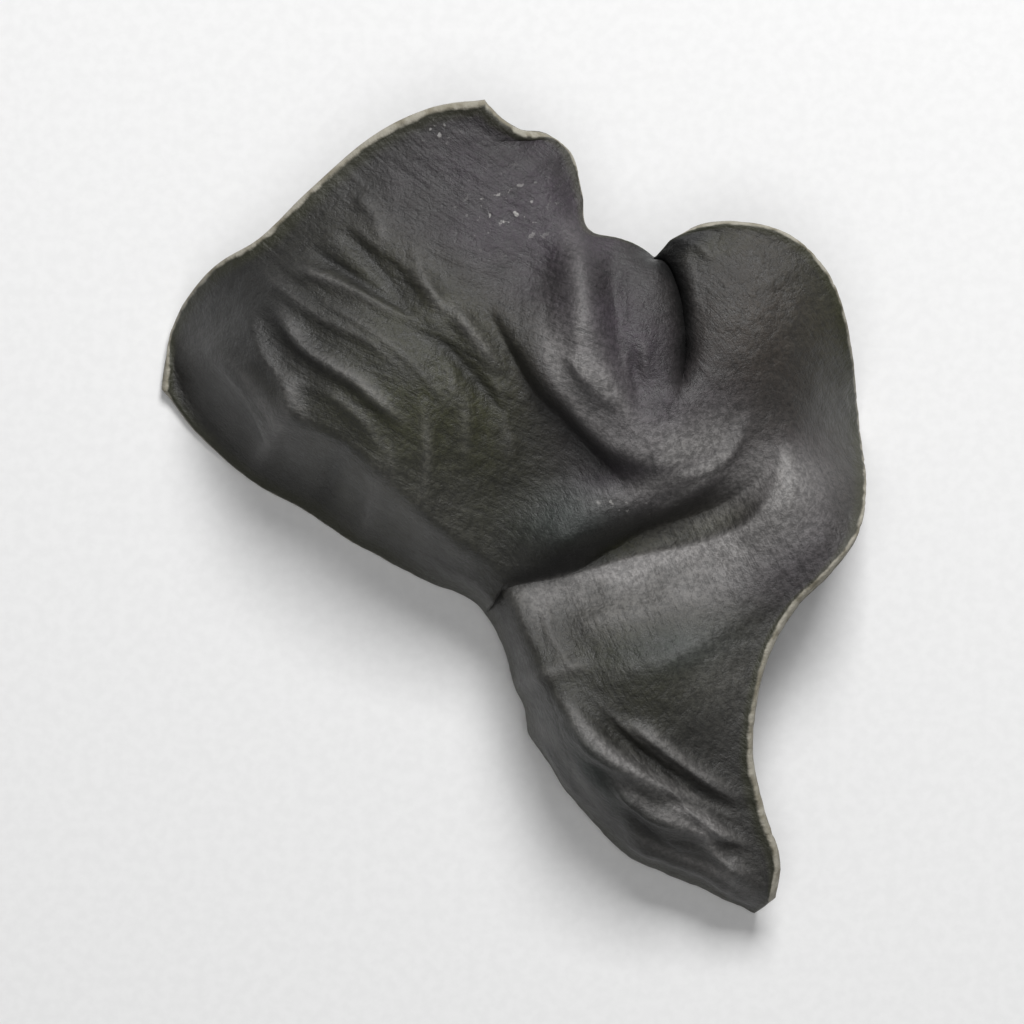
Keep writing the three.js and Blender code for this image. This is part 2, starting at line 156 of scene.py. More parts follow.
WRINKLES = [
    # left lobe, from the shoulder to the middle
    [0.60, 0.8, 0.6, (2, 3), [(-28.5, 15.3), (-24.6, 11.1), (-21.9, 6.9)]],
    [0.80, 0.7, 0.6, (2, 2), [(-24.6, 18.3), (-23.7, 15.0), (-21.3, 11.7)]],
    [0.55, 0.7, 0.5, (1, 2), [(-21.6, 12.3), (-20.7, 10.2), (-19.5, 8.1)]],
    [1.15, 0.6, 0.5, (2, 3), [(-21.9, 18.6), (-19.8, 15.6), (-16.8, 13.5), (-14.4, 12.0), (-11.4, 9.3)]],
    [0.90, 0.6, 0.5, (2, 2), [(-20.1, 22.8), (-16.2, 21.3), (-11.4, 18.9), (-9.0, 17.7), (-6.6, 16.2)]],
    [-0.90, 0.5, 0.8, (2, 3), [(-18.3, 24.3), (-12.3, 20.1), (-8.4, 17.4), (-4.8, 13.8), (-0.3, 8.7)]],
    [0.94, 0.8, 0.6, (2, 2), [(-5.4, 18.9), (-3.6, 16.2), (-1.8, 13.8)]],
    [-0.80, 0.5, 0.8, (2, 2), [(-15.3, 26.1), (-12.6, 22.8), (-10.2, 19.8)]],
    [-0.68, 0.5, 0.8, (2, 2), [(-12.9, 25.5), (-10.8, 22.8), (-9.0, 19.8)]],
    [0.50, 0.6, 0.5, (1, 2), [(-14.4, 29.7), (-12.9, 27.3), (-12.3, 24.9)]],
    [0.50, 0.6, 0.4, (2, 2), [(-14.8, 26.7), (-8.9, 21.6), (-3.8, 16.1)]],
    [0.45, 0.5, 0.4, (2, 3), [(-23.0, 21.9), (-18.5, 18.4), (-14.5, 16.4), (-10.5, 13.4)]],
    [0.45, 0.5, 0.4, (2, 3), [(-17.5, 19.4), (-13.5, 17.0), (-9.5, 13.8), (-7.0, 11.0)]],
    [0.40, 0.5, 0.4, (2, 3), [(-17.6, 11.4), (-14.6, 9.0), (-12.6, 6.3)]],
    [0.40, 0.5, 0.4, (2, 2), [(-26.4, 13.2), (-23.8, 9.6), (-22.4, 7.0)]],
    [0.60, 0.6, 0.5, (2, 2), [(-9.3, 24.3), (-8.1, 21.3), (-6.9, 18.6)]],
    # upright ones in the middle
    [0.51, 0.6, 0.6, (2, 2), [(-6.0, 13.5), (-5.4, 10.2)]],
    [0.59, 0.6, 0.6, (2, 3), [(-8.4, 9.0), (-8.1, 5.4), (-8.4, 2.4)]],
    [0.42, 0.6, 0.6, (2, 2), [(-11.7, 5.4), (-11.4, 2.1)]],
    [0.42, 0.6, 0.6, (2, 2), [(-4.5, 10.5), (-4.5, 5.1)]],
    [0.48, 0.6, 0.6, (2, 2), [(-1.8, 11.7), (-0.6, 8.1), (-0.3, 5.1)]],
    # tongue and pad
    [0.51, 0.6, 0.7, (2, 2), [(6.3, 24.0), (6.6, 19.5), (6.3, 15.6)]],
    [0.94, 0.8, 0.5, (1, 2), [(5.7, 14.4), (7.2, 12.3), (9.3, 10.2)]],
    [0.51, 0.6, 0.5, (2, 2), [(7.5, 13.8), (9.9, 10.8), (11.4, 8.1)]],
    [0.37, 0.5, 0.5, (1, 2), [(10.5, 15.3), (10.8, 12.0)]],
    [0.37, 0.5, 0.5, (1, 2), [(12.3, 15.9), (12.6, 12.3)]],
    [0.68, 0.7, 0.6, (2, 2), [(15.6, 3.3), (18.3, 4.2), (20.7, 5.7), (21.9, 8.4)]],
    # in the pocket at the head of the slit
    [0.70, 0.5, 0.5, (1, 1), [(15.6, 25.8), (17.9, 25.0), (18.9, 23.9)]],
    [0.45, 0.5, 0.5, (1, 2), [(16.6, 24.4), (17.5, 21.4), (17.7, 19.0)]],
    # puckers toward the tip
    [1.70, 0.7, 0.6, (2, 3), [(6.0, -20.7), (8.7, -23.1), (11.1, -24.6), (13.5, -26.1), (17.4, -27.9)]],
    [1.40, 0.7, 0.5, (2, 3), [(12.0, -20.7), (15.0, -23.1), (18.0, -25.5), (20.4, -27.0)]],
    [1.70, 0.7, 0.5, (2, 3), [(10.2, -26.4), (13.2, -28.8), (15.6, -30.0), (18.6, -31.2)]],
    [1.30, 0.6, 0.5, (2, 2), [(15.6, -28.8), (18.0, -29.4), (20.4, -31.2)]],
    [1.20, 0.6, 0.5, (2, 2), [(18.0, -31.2), (20.1, -33.6), (22.8, -35.4)]],
    [1.20, 0.6, 0.5, (2, 3), [(12.0, -31.8), (15.6, -33.3), (19.2, -34.8), (22.8, -37.2)]],
    [1.00, 0.7, 0.6, (2, 3), [(1.8, -20.4), (4.5, -23.1), (6.3, -26.1), (8.1, -28.2)]],
    [1.00, 0.5, 0.5, (2, 2), [(4.8, -18.3), (8.1, -21.9), (11.7, -25.5), (14.7, -28.2)]],
    [1.00, 0.5, 0.5, (2, 2), [(13.8, -26.1), (16.8, -29.1), (19.8, -30.9), (22.2, -32.1)]],
    [-0.50, 0.5, 0.6, (2, 2), [(11.1, -22.2), (15.9, -26.1), (20.7, -29.1)]],
    [0.50, 0.5, 0.4, (2, 2), [(10.8, -22.9), (14.7, -25.7), (18.6, -28.2), (21.3, -29.6)]],
    [0.50, 0.5, 0.4, (2, 2), [(9.0, -19.2), (12.9, -22.6), (16.2, -25.2)]],
    [-0.80, 0.5, 0.6, (2, 2), [(11.1, -28.8), (15.0, -32.4), (19.5, -34.2)]],
    # the side above the hem
    [0.70, 1.0, 0.7, (2, 3), [(-24.6, 5.0), (-22.0, 8.5), (-20.5, 12.0)]],
    [0.60, 0.8, 0.7, (2, 3), [(-14.0, -1.5), (-13.2, 1.5), (-13.0, 4.5)]],
    [-0.60, 0.8, 0.8, (2, 3), [(-18.5, 1.0), (-17.0, 4.0), (-16.0, 6.5)]],
    [0.60, 0.8, 0.6, (2, 2), [(1.5, -16.5), (4.0, -15.5), (7.0, -15.0)]],
    # along the crest of the lower lobe, and under it
    [0.50, 0.6, 0.9, (3, 4), [(4.0, -6.9), (7.4, -6.2), (12.0, -5.1), (16.7, -4.1), (22.3, -2.3),
                              (24.8, -0.2)]],
    [0.51, 0.7, 0.6, (1, 2), [(2.7, -9.3), (3.6, -12.0), (5.4, -15.0)]],
    [0.37, 0.9, 0.8, (2, 3), [(6.3, -11.1), (11.4, -10.2), (16.5, -8.4)]],
    [0.37, 0.9, 0.8, (2, 3), [(9.6, -15.6), (14.4, -14.4), (19.2, -12.0)]],
]
PAD = [3.4, 0.4, (6, 6), [      # small cliff round the foot of the tongue: height, width, fades
    (0.0, 16.0), (2.8, 11.7), (5.2, 9.4), (7.6, 7.0), (9.6, 5.0), (11.8, 4.0), (14.4, 3.6),
    (17.4, 4.6)]]
PAD_SOFT, PAD_SOFT_SPAN = 1.7, (13, 20)     # the cliff softens to this width along that stretch
# groove between the tongue and the right lobe, which the tongue leans over
SLIT = [(12.9, 27.0), (14.8, 23.7), (15.9, 21.0), (16.4, 18.0), (16.5, 15.0), (16.2, 12.6)]
SLIT_DEPTH = 4.2
SLIT_WIDTH = 0.6            # on either side of the path
SLIT_FADE = 3.0
SLIT_PUSH, SLIT_LEAN = 0.3, 1.1     # how far the tongue leans over, and from how far away
# At the head of the slit the torn edge dips: inward in plan by the depth, and down by the drop.
DIP_X, DIP_HALF_WIDTH = 13.6, 2.2
DIP_DEPTH, DIP_DROP = 1.9, 1.4
DIP_REACH = 6               # from the edge inward
DIP_Y_MIN = 10              # below this there is no dip

# ---- the fine relief ---------------------------------------------------------------------------
LINE_REACH = 7              # folds, creases and wrinkles have died away at this many widths
WRINKLE_GAIN = 1.15         # on the heights of all wrinkles
WRINKLE_TROUGH = 0.35       # each lies in a trough, this share of its height deep
TROUGH_WIDTHS = 3           # and this many times as wide, so that it lifts nothing else
WRINKLED = [                # where the sheet is most wrinkled, laid out as the domes are
    [(-12, 14), (14, 12), 0, 1],        # left lobe
    [(14, -27), (10, 10), 0, 1],        # tip
]
# Seeded pleats along the blade, lower where the sheet isn't wrinkled, that wander sideways.
PLEAT_LENGTH, PLEAT_GAP, PLEAT_HEIGHT, PLEAT_SEED = 9.0, 1.4, 0.26, 1
PLEAT_LEAST = 0.25
WANDER_LENGTH, WANDER_GAP, WANDER, WANDER_SEED = 12, 6, 1.5, 7
SWELLS = [(5.0, 0.18, 3), (2.2, 0.12, 4), (1.0, 0.09, 5)]      # size, height, seed
SWELL_START = 40            # where on the noise's plane the sheet's middle lies
UNDER_SHARE = 0.6           # the underside repeats this share of the fine relief

# ---- colour by place ---------------------------------------------------------------------------
# How much of each tint: round spots laid out as the domes are, then bands laid out as the folds.
# The pale tint is pale dust on the ridges and painted highlight on the crest, the pad, the tongue and
# the valley floor; the dark one is painted shade in the deepest folds, the slit and the pocket.
TINTS = {
    "olive": ([
        [(-6.5, 9.0), (11, 11), -20, 0.8],      # middle of the left lobe
        [(-10.5, 22.5), (9, 4), -30, 0.4],      # its upper side
        [(31.0, 16.5), (4, 11), 15, 0.7],       # right margin
        [(17.5, 25.6), (5, 1.8), 0, 0.9],       # pocket at the head of the slit
        [(13.5, -13.5), (10, 8), 0, 0.4],       # lower lobe
    ], [
        # valley floor
        [0.9, 1.6, 1.0, (3, 3), [(8.0, -4.6), (13.0, -3.0), (18.0, -1.7), (22.5, 0.3)]],
    ]),
    "umber": ([
        [(24.0, 16.0), (7, 12), 0, 1.0],        # right lobe
        [(28.0, 3.0), (5, 8), 0, 0.5],          # neck
    ], []),
    "violet": ([
        [(1.0, 30.0), (12, 9), 0, 1.0],         # upper lobe
        [(9.0, 14.0), (7, 13), 10, 1.0],        # tongue and pad
        [(16.5, 7.5), (7, 5), 0, 0.8],          # end of the pad
        [(12.0, 2.6), (5, 1.5), 0, 0.8],        # foot of the pad
        [(27.5, -1.0), (4, 8), 0, 0.8],         # neck
        [(23.5, -5.5), (6, 3), 15, 0.6],        # under the crest
    ], []),
    "teal": ([
        [(5.4, -0.6), (5, 3), 10, 0.5],         # terrace
        [(15.6, -13.2), (5, 2), 10, 0.6],       # lower lobe
        [(6.6, -24.6), (2, 5), 40, 0.5],        # its shoulder
    ], []),
    # pale dust on the ridges, and painted highlight where light catches the crest, the pad, the neck and
    # the tongue
    "dust_and_highlight": ([
        [(20.0, -16.0), (4, 8), 10, 0.16],      # margin of the lower lobe
        [(21.0, -34.0), (4, 5), 30, 0.2],       # tip
        [(17.0, -6.8), (8, 3.5), 15, 0.35],     # under the crest
        [(27.5, 0.0), (4, 6), 0, 0.3],          # neck
        [(19.0, 6.8), (3.5, 2.5), 30, 0.7],     # end of the pad
        [(14.5, 2.6), (4.5, 1.5), 14, 0.75],    # and its foot
        [(8.0, 0.5), (5, 2.2), 10, 0.12],       # terrace
        [(-9.0, 1.0), (6, 4), -20, 0.12],       # front of the left lobe
    ], [
        # crest of the lower lobe, broad and then sharp
        [0.75, 0.5, 3.8, (2, 3), [(0.6, -7.4), (7.4, -6.1), (12.0, -5.0), (16.7, -3.9), (22.3, -2.0),
                                  (25.4, 2.0), (25.9, 5.0)]],
        [0.9, 0.5, 0.7, (3, 3), [(7.4, -6.2), (12.0, -5.1), (16.7, -4.1), (22.3, -2.3),
                                 (25.3, 0.8), (25.9, 4.0)]],
        # edge of the terrace
        [0.5, 0.5, 0.5, (2, 2), [(14.6, 0.4), (18.1, 2.9), (20.2, 5.0)]],
        # head of the valley, and its floor
        [0.6, 2.0, 1.5, (3, 3), [(20.0, 1.8), (23.4, 2.8), (24.0, 5.5)]],
        [0.35, 1.2, 1.2, (3, 3), [(13.0, -2.6), (18.0, -1.2), (22.0, 0.6)]],
        # edge of the pad, and ridge of the tongue
        [0.70, 4.0, 0.6, (4, 4), [(2.4, 17.0), (5.5, 10.3), (9.6, 6.2), (14.4, 4.6), (19.2, 6.4)]],
        [0.25, 1.2, 1.0, (3, 3), [(5.4, 27.0), (6.3, 19.8), (7.5, 14.5), (10.5, 9.5)]],
    ]),
    # painted shade: darker in the deepest folds, the slit, the pocket and the upper side of the left
    # lobe
    "painted_shade": ([
        [(15.0, 24.8), (3.4, 1.8), 15, 0.9],    # pocket at the head of the slit
        [(-25.0, 18.5), (9, 6), -40, 0.7],      # upper side of the left lobe
    ], [
        # pocket, and the slit itself
        [0.9, 0.6, 1.0, (1, 3), [(14.0, 25.2), (16.2, 26.0), (19.5, 26.8)]],
        [1.0, 0.8, 1.1, (1, 2), [(12.6, 25.0), (15.2, 23.0), (16.2, 20.4), (16.6, 17.4), (16.3, 13.5)]],
        # foot of the pad, and the hollow on it
        [0.7, 0.8, 0.7, (3, 3), [(1.8, 11.4), (5.0, 8.2), (7.8, 5.2), (9.6, 4.0)]],
        [0.6, 0.9, 0.5, (4, 3), [(5.1, 12.6), (6.6, 10.5), (8.4, 9.0)]],
        # start of the valley, and its side under the terrace
        [0.75, 1.2, 0.6, (2, 4), [(-0.5, -7.2), (4.0, -6.0), (9.0, -4.7)]],
        [0.75, 0.6, 0.7, (3, 4), [(3.5, -5.0), (7.5, -3.6), (11.5, -1.9), (15.5, -0.4)]],
    ]),
    "speck": ([
        [(-0.3, 28.5), (3.5, 3.0), 0, 1.0],     # upper lobe
        [(-7.5, 36.0), (2.0, 1.2), 0, 0.8],     # beside its torn edge
        [(11.0, 0.6), (4.0, 1.0), 0, 0.8],      # terrace
    ], []),
}
# painted highlight on the wrinkles' tops and painted shade where they sink
RIDGE_TINTS = {"dust_and_highlight": 0.38, "painted_shade": -0.85}     # for each mm that a wrinkle stands up
# How far the pale torn rim reaches onto the face, by the share of the long edge, then at the
# short edge and at the hem.
RIM_WIDTH = [[0, 0.3], [0.012, 0.1], [0.055, 0.1], [0.075, 0.25], [0.16, 0.25], [0.19, 0.3],
             [0.22, 0.1], [0.26, 0.3], [0.32, 0.38], [1, 0.38]]
SHORT_RIM_WIDTH, HEM_RIM_WIDTH = 0.42, 0.1
RING_STEP = 0.25            # each ring round the edge counts as this much farther out


# ---- small helpers -----------------------------------------------------------------------------
def mix(a, b, t):
    return a + (b - a) * t


def smooth(start, end, x):
    t = np.clip((x - start) / (end - start), 0, 1)
    return t * t * (3 - 2 * t)


def read(pairs, x):
    """Straight-line reading of a list of [position, value] pairs."""
    positions, values = zip(*pairs)
    return np.interp(x, positions, values)


def bell(x):
    return np.exp(-x * x)


class Curve:
    """A smooth curve through its points, read by the share of its length in plan."""

    def __init__(self, points, steps):
        p = np.array(points, float)
        knots = np.vstack([2 * p[0] - p[1], p, 2 * p[-1] - p[-2]])
        found = []
        for a, b, c, d in zip(knots[:-3], knots[1:-2], knots[2:-1], knots[3:]):
            for t in np.arange(steps) / steps:
                bend = t * (2 * a - 5 * b + 4 * c - d + t * (3 * (b - c) + d - a))
                found.append(b + 0.5 * t * (c - a + bend))
        self.points = np.array(found + [p[-1]])
        lengths = np.linalg.norm(np.diff(self.points[:, :2], axis=0), axis=1)
        along = np.concatenate([[0], np.cumsum(lengths)])
        self.length = along[-1]
        self.share = along / self.length

    def at(self, t):
        return np.stack([np.interp(t, self.share, axis) for axis in self.points.T], -1)


def beside(curve, x, y):
    """Distance to a curve, left of it positive, and how far along it in mm, below 0 before it."""
    near = np.full(x.shape, np.inf)
    distance, along = np.zeros(x.shape), np.zeros(x.shape)
    last = len(curve.points) - 2
    for i, (a, b) in enumerate(zip(curve.points[:-1], curve.points[1:])):
        dx, dy = b[:2] - a[:2]
        rx, ry = x - a[0], y - a[1]
        t = (rx * dx + ry * dy) / (dx * dx + dy * dy)
        on = np.clip(t, 0, 1)
        gap = np.hypot(rx - on * dx, ry - on * dy)
        open_t = np.clip(t, -np.inf if i == 0 else 0, np.inf if i == last else 1)
        side = np.where(dx * ry - dy * rx < 0, -1, 1)
        taken = gap < near
        near = np.where(taken, gap, near)
        off = side * np.hypot(rx - open_t * dx, ry - open_t * dy)
        distance = np.where(taken, off, distance)
        here = mix(curve.share[i], curve.share[i + 1], open_t) * curve.length
        along = np.where(taken, here, along)
    return distance, along


def fade_ends(along, length, fade):
    """1 along a path, and smoothly down to 0 past its ends."""
    start, end = fade
    return smooth(-start, start, along) * (1 - smooth(length - end, length + end, along))


def ripples(x, y, seed):
    """Seeded gradient noise over a plane, about -0.7 to 0.7, with one swell for each unit."""
    size = 128
    angles = np.random.default_rng(seed).uniform(0, 2 * math.pi, (size, size))
    column, row = np.floor(x).astype(int), np.floor(y).astype(int)
    fx, fy = x - column, y - row
    total = np.zeros(x.shape)
    for i in (0, 1):
        for j in (0, 1):
            angle = angles[(column + i) % size, (row + j) % size]
            slope = np.cos(angle) * (fx - i) + np.sin(angle) * (fy - j)
            weight = smooth(0, 1, 1 - abs(fx - i)) * smooth(0, 1, 1 - abs(fy - j))
            total += slope * weight
    return total


# ---- the relief as functions of x and y --------------------------------------------------------
def dome_height(dome, x, y):
    (cx, cy), (rx, ry), degrees, height = dome
    turn = math.radians(degrees)
    dx, dy = x - cx, y - cy
    a = (dx * math.cos(turn) + dy * math.sin(turn)) / rx
    b = (-dx * math.sin(turn) + dy * math.cos(turn)) / ry
    return height * bell(a) * bell(b)


def line_height(line, x, y, profile):
    """A fold, crease, wrinkle or band; the profile runs across it, in widths."""
    height, left, right, fade, path = line
    reach = LINE_REACH * max(left, right)
    low, high = np.min(path, 0) - reach, np.max(path, 0) + reach
    near = (x > low[0]) & (x < high[0]) & (y > low[1]) & (y < high[1])
    curve = Curve(path, PATH_STEPS)
    distance, along = beside(curve, x[near], y[near])
    q = distance / np.where(distance > 0, left, right)
    made = np.zeros(x.shape)
    made[near] = height * profile(q) * fade_ends(along, curve.length, fade)
    return made


def sharp_crease(q):
    return np.exp(1 - np.sqrt(1 + q * q))


def fine_wrinkle(q):
    return sharp_crease(q) - WRINKLE_TROUGH * bell(q / TROUGH_WIDTHS)


def valley_height(x, y):
    """A trough with a flat floor on the tongue's side, which is the left of its path."""
    height, left, right, fade, path = VALLEY
    curve = Curve(path, PATH_STEPS)
    distance, along = beside(curve, x, y)
    floor = VALLEY_FLOOR * smooth(*VALLEY_FLOOR_SPAN, along)
    past = np.where(distance > 0, np.maximum(distance - floor, 0), distance)
    off = np.hypot(past, VALLEY_ROUND) - VALLEY_ROUND
    dies = np.exp(-off / np.where(distance > 0, left, right))
    return height * dies * fade_ends(along, curve.length, fade)


def beyond(x, y, here, there):
    """How far a point lies past `there`, on the line that comes from `here`."""
    dx, dy = there[0] - here[0], there[1] - here[1]
    return ((x - there[0]) * dx + (y - there[1]) * dy) / math.hypot(dx, dy)


def pad_height(x, y):
    """A step up to the left of the path, which fades out past the lines square to its ends."""
    height, width, (start, end), path = PAD
    distance, along = beside(Curve(path, PATH_STEPS), x, y)
    width = mix(width, PAD_SOFT, smooth(*PAD_SOFT_SPAN, along))
    rise = 0.5 + 0.5 * np.tanh(distance / width)
    begun = 1 - smooth(-start, start, beyond(x, y, path[1], path[0]))
    ended = smooth(-end, end, beyond(x, y, path[-2], path[-1]))
    return height * rise * begun * (1 - ended)


# ---- the sheet's mid-surface -------------------------------------------------------------------
long_edge = Curve(LONG_EDGE, EDGE_STEPS)
short_edge = Curve(SHORT_EDGE, EDGE_STEPS)
hem = Curve(HEM, EDGE_STEPS)


def hem_share(u):
    """The share of the hem that lies across from share u of the long edge."""
    return u + HEM_SHIFT * np.sin(math.pi * np.minimum(u / HEM_SHIFT_SPAN, 1)) ** 2


def plan_distance(a, b):
    return np.linalg.norm(a[..., :2] - b[..., :2], axis=-1)


def across_width(u):
    """From the hem to the long edge in plan, mm."""
    return np.maximum(ACROSS_MIN, plan_distance(long_edge.at(u), hem.at(hem_share(u))))


def patch(u, v):
    """The plain patch between the edges: u runs along the long edge, v from the hem to it."""
    across, along = v[..., None], u[..., None]
    p = mix(hem.at(hem_share(u)), long_edge.at(u), across)
    straight = mix(hem.at(0), long_edge.at(0), across)
    p = p + (1 - along) * (short_edge.at(v) - straight)
    bow = np.sin(math.pi * np.minimum(u / BOW_SPAN, 1))
    p[..., 0] += BOW * 4 * v * (1 - v) * bow
    return p


def hem_rise(share, inset):
    """The side that drops from the shoulder to the hem: a low brim, then the steep part."""
    t = np.clip(inset / read(HEM_SIDE, share), 0, 1)
    brim = read(HEM_BRIM, share)
    brim_part = np.where(brim > WHOLE_BRIM, np.sin(math.pi / 2 * t), smooth(0, BRIM_END, t))
    return brim * brim_part + (1 - brim) * smooth(STEEP_START, 1, t)


def surface(u, v):
    """The mid-surface at shares u along the sheet and v across it."""
    p = patch(u, v)
    x, y, base = np.moveaxis(p, -1, 0)
    edge = np.minimum(plan_distance(p, long_edge.at(u)), plan_distance(p, short_edge.at(v)))
    top = base + pad_height(x, y) + valley_height(x, y)
    top = top + sum(dome_height(dome, x, y) for dome in DOMES)
    top = top + sum(line_height(fold, x, y, bell) for fold in FOLDS)
    share = hem_share(u)
    z = mix(HEM_FLOOR, top, hem_rise(share, plan_distance(p, hem.at(share))))
    z = z + sum(line_height(crease, x, y, sharp_crease) for crease in CREASES)
    return slit_and_lip(x, y, z, edge)


def slit_and_lip(x, y, z, edge):
    """The tongue leans over the slit, and its torn edge dips where it curls in. Elsewhere the
    torn edge curls up in a narrow lip."""
    curve = Curve(SLIT, PATH_STEPS)
    distance, along = beside(curve, x, y)
    fade = 1 - smooth(curve.length - SLIT_FADE, curve.length + SLIT_FADE, along)
    groove = sharp_crease(distance / SLIT_WIDTH) * fade
    k = distance / SLIT_LEAN
    lean = k * np.exp((1 - k * k) / 2) * fade
    near = np.where(y > DIP_Y_MIN, 1 - smooth(0, DIP_REACH, edge), 0)
    dip = bell((x - DIP_X) / DIP_HALF_WIDTH) * near
    lip = LIP_HEIGHT * np.exp(-edge / LIP_WIDTH) * (1 - dip)
    return np.stack([x - SLIT_PUSH * lean, y - DIP_DEPTH * dip,
                     z - SLIT_DEPTH * groove - DIP_DROP * dip + lip], -1)


def along_blade(u):
    """From the short edge towards the tip, mm."""
    return u * MEAN_LENGTH * long_edge.length


def fine_relief(p, u, v):
    """How far the upper face stands out from the smooth sheet, along the face's direction."""
    x, y = p[..., 0], p[..., 1]
    height = WRINKLE_GAIN * sum(line_height(wrinkle, x, y, fine_wrinkle) for wrinkle in WRINKLES)
    along, across = along_blade(u), v * across_width(u)
    wander = WANDER * ripples(along / WANDER_LENGTH, across / WANDER_GAP, WANDER_SEED)
    pleats = 0.5 - abs(ripples(along / PLEAT_LENGTH, across / PLEAT_GAP + wander, PLEAT_SEED))
    wrinkled = np.clip(sum(dome_height(dome, x, y) for dome in WRINKLED), 0, 1)
    height = height + PLEAT_HEIGHT * pleats * mix(PLEAT_LEAST, 1, wrinkled)
    for size, swell, seed in SWELLS:
        height = height + swell * ripples(x / size + SWELL_START, y / size + SWELL_START, seed)
    return height


# ---- the sheet as one closed mesh --------------------------------------------------------------
def grid_shares():
    """Where the columns and rows of the upper face lie, from 0 to 1."""
    probe = np.linspace(0, 1, CROWDING_PROBES)
    crowd = np.cumsum(1 + SLIT_CROWDING * bell((probe - SLIT_SHARE) / SLIT_SPAN))
    crowd = (crowd - crowd[0]) / (crowd[-1] - crowd[0])
    columns = np.interp(np.linspace(0, 1, COLUMNS + 1), crowd, probe)
    rows = np.linspace(0, 1, ROWS + 1) ** HEM_CROWDING
    return np.meshgrid(columns, rows, indexing="ij")


def trimmed(column, row, trim):
    """Where a grid point lies once the edges are pulled in by trim mm and by the nicks."""
    u = mix(trim / long_edge.length, 1 - trim / long_edge.length, column)
    cuts = sum(ripples(u * swells, 0 * u, seed) for swells, seed in NICKS)
    nicks = NICK_DEPTH * np.clip(cuts, 0, 1)
    width = across_width(u)
    return u, mix(trim / width, 1 - (trim + nicks) / width, row)


def face_normals(p, passes):
    """Directions square to the surface, evened out so that the faces don't cross in tight folds."""
    normals = np.cross(np.gradient(p, axis=0), np.gradient(p, axis=1))
    for _ in range(passes):
        normals /= np.linalg.norm(normals, axis=-1, keepdims=True)
        wide = np.pad(normals, ((1, 1), (1, 1), (0, 0)), "edge")
        normals = (4 * normals + wide[:-2, 1:-1] + wide[2:, 1:-1] + wide[1:-1, :-2]
                   + wide[1:-1, 2:]) / 8
    return normals / np.linalg.norm(normals, axis=-1, keepdims=True)


def border_of(columns, rows):
    """Walks round the border of the grid once, counter-clockwise in u and v."""
    i, j = np.arange(columns), np.arange(rows)
    walk = [(i[:-1], 0 * i[:-1]), (0 * j[:-1] + columns - 1, j[:-1]),
            (i[:0:-1], 0 * i[:0:-1] + rows - 1), (0 * j[:0:-1], j[:0:-1])]
    return tuple(np.concatenate(part) for part in zip(*walk))


def grid_faces(index, flip):
    """Four-sided faces between the points of a grid of point numbers."""
    corners = [index[:-1, :-1], index[1:, :-1], index[1:, 1:], index[:-1, 1:]]
    if flip:
        corners = corners[::-1]
    return np.stack([c.ravel() for c in corners], -1)


def edge_ring(turn, column, row, relief, normals):
    """Points round the torn edge, this share of the way from the upper face to the underside."""
    angle = math.pi * turn
    round_by = EDGE_ROUND if angle < math.pi / 2 else UNDER_ROUND
    u, v = trimmed(column, row, round_by * (1 - math.sin(angle)))
    lift = THICKNESS / 2 * math.cos(angle) + mix(1, UNDER_SHARE, turn) * relief
    return surface(u, v) + lift * normals


def sheet_layers():
    """Upper face, edge rings and underside from top to bottom, and the upper face's u and v."""
    column, row = grid_shares()
    u, v = trimmed(column, row, EDGE_ROUND)
    middle = surface(u, v)
    normals = face_normals(middle, NORMAL_PASSES)
    relief = fine_relief(middle, u, v)[..., None]
    upper = middle + (THICKNESS / 2 + relief) * normals
    under_middle = surface(*trimmed(column[::2, ::2], row[::2, ::2], UNDER_ROUND))
    sunk = THICKNESS / 2 - UNDER_SHARE * relief[::2, ::2]
    lower = under_middle - sunk * face_normals(under_middle, UNDER_PASSES)
    border = border_of(*column.shape)
    rings = [edge_ring(k / EDGE_RINGS, column[border], row[border], relief[border], normals[border])
             for k in range(1, EDGE_RINGS)]
    return [upper, *rings, lower], u, v


def point_numbers(layers):
    """The numbers that the points of each layer get in the mesh, in the layer's own shape."""
    sizes = [math.prod(layer.shape[:-1]) for layer in layers]
    starts = np.cumsum([0, *sizes])
    return [start + np.arange(size).reshape(layer.shape[:-1])
            for start, size, layer in zip(starts, sizes, layers)]


def closed_faces(numbers):
    """All faces, from the point numbers of each layer. The underside is half as fine, so three
    triangles join each of its border edges to two edges of the last ring."""
    upper, *rings, lower = numbers
    faces = grid_faces(upper, False).tolist() + grid_faces(lower, True).tolist()
    loops = [upper[border_of(*upper.shape)], *rings]
    for above, below in zip(loops[:-1], loops[1:]):
        ring = np.stack([above, below, np.roll(below, -1), np.roll(above, -1)], -1)
        faces += ring.tolist()
    last, base = loops[-1], lower[border_of(*lower.shape)]
    for k, (a, b) in enumerate(zip(base, np.roll(base, -1))):
        first, second, third = last[2 * k], last[2 * k + 1], last[(2 * k + 2) % len(last)]
        faces += [[first, a, second], [second, a, b], [second, b, third]]
    return faces


def shift_to_frame(points):
    """The move from the tables' plan to the solid's box: centred in plan and at its foot."""
    low, high = points.min(0), points.max(0)
    box_low, box_high = (np.array(corner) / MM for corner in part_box(NODE))
    shift = (box_low + box_high - low - high) / 2
    shift[2] = box_low[2] - low[2]
    return shift


def build_sheet():
    layers, u, v = sheet_layers()
    points = np.vstack([layer.reshape(-1, 3) for layer in layers])
    places = (points + shift_to_frame(points)) * MM
    mesh = bpy.data.meshes.new("dried_kelp")
    mesh.from_pydata(places.tolist(), [], closed_faces(point_numbers(layers)))
    mesh.polygons.foreach_set("use_smooth", [True] * len(mesh.polygons))
    mesh.update()
    paint(mesh, points, u, v)
    sheet = bpy.data.objects.new("dried_kelp_sheet", mesh)
    bpy.context.collection.objects.link(sheet)
    return sheet


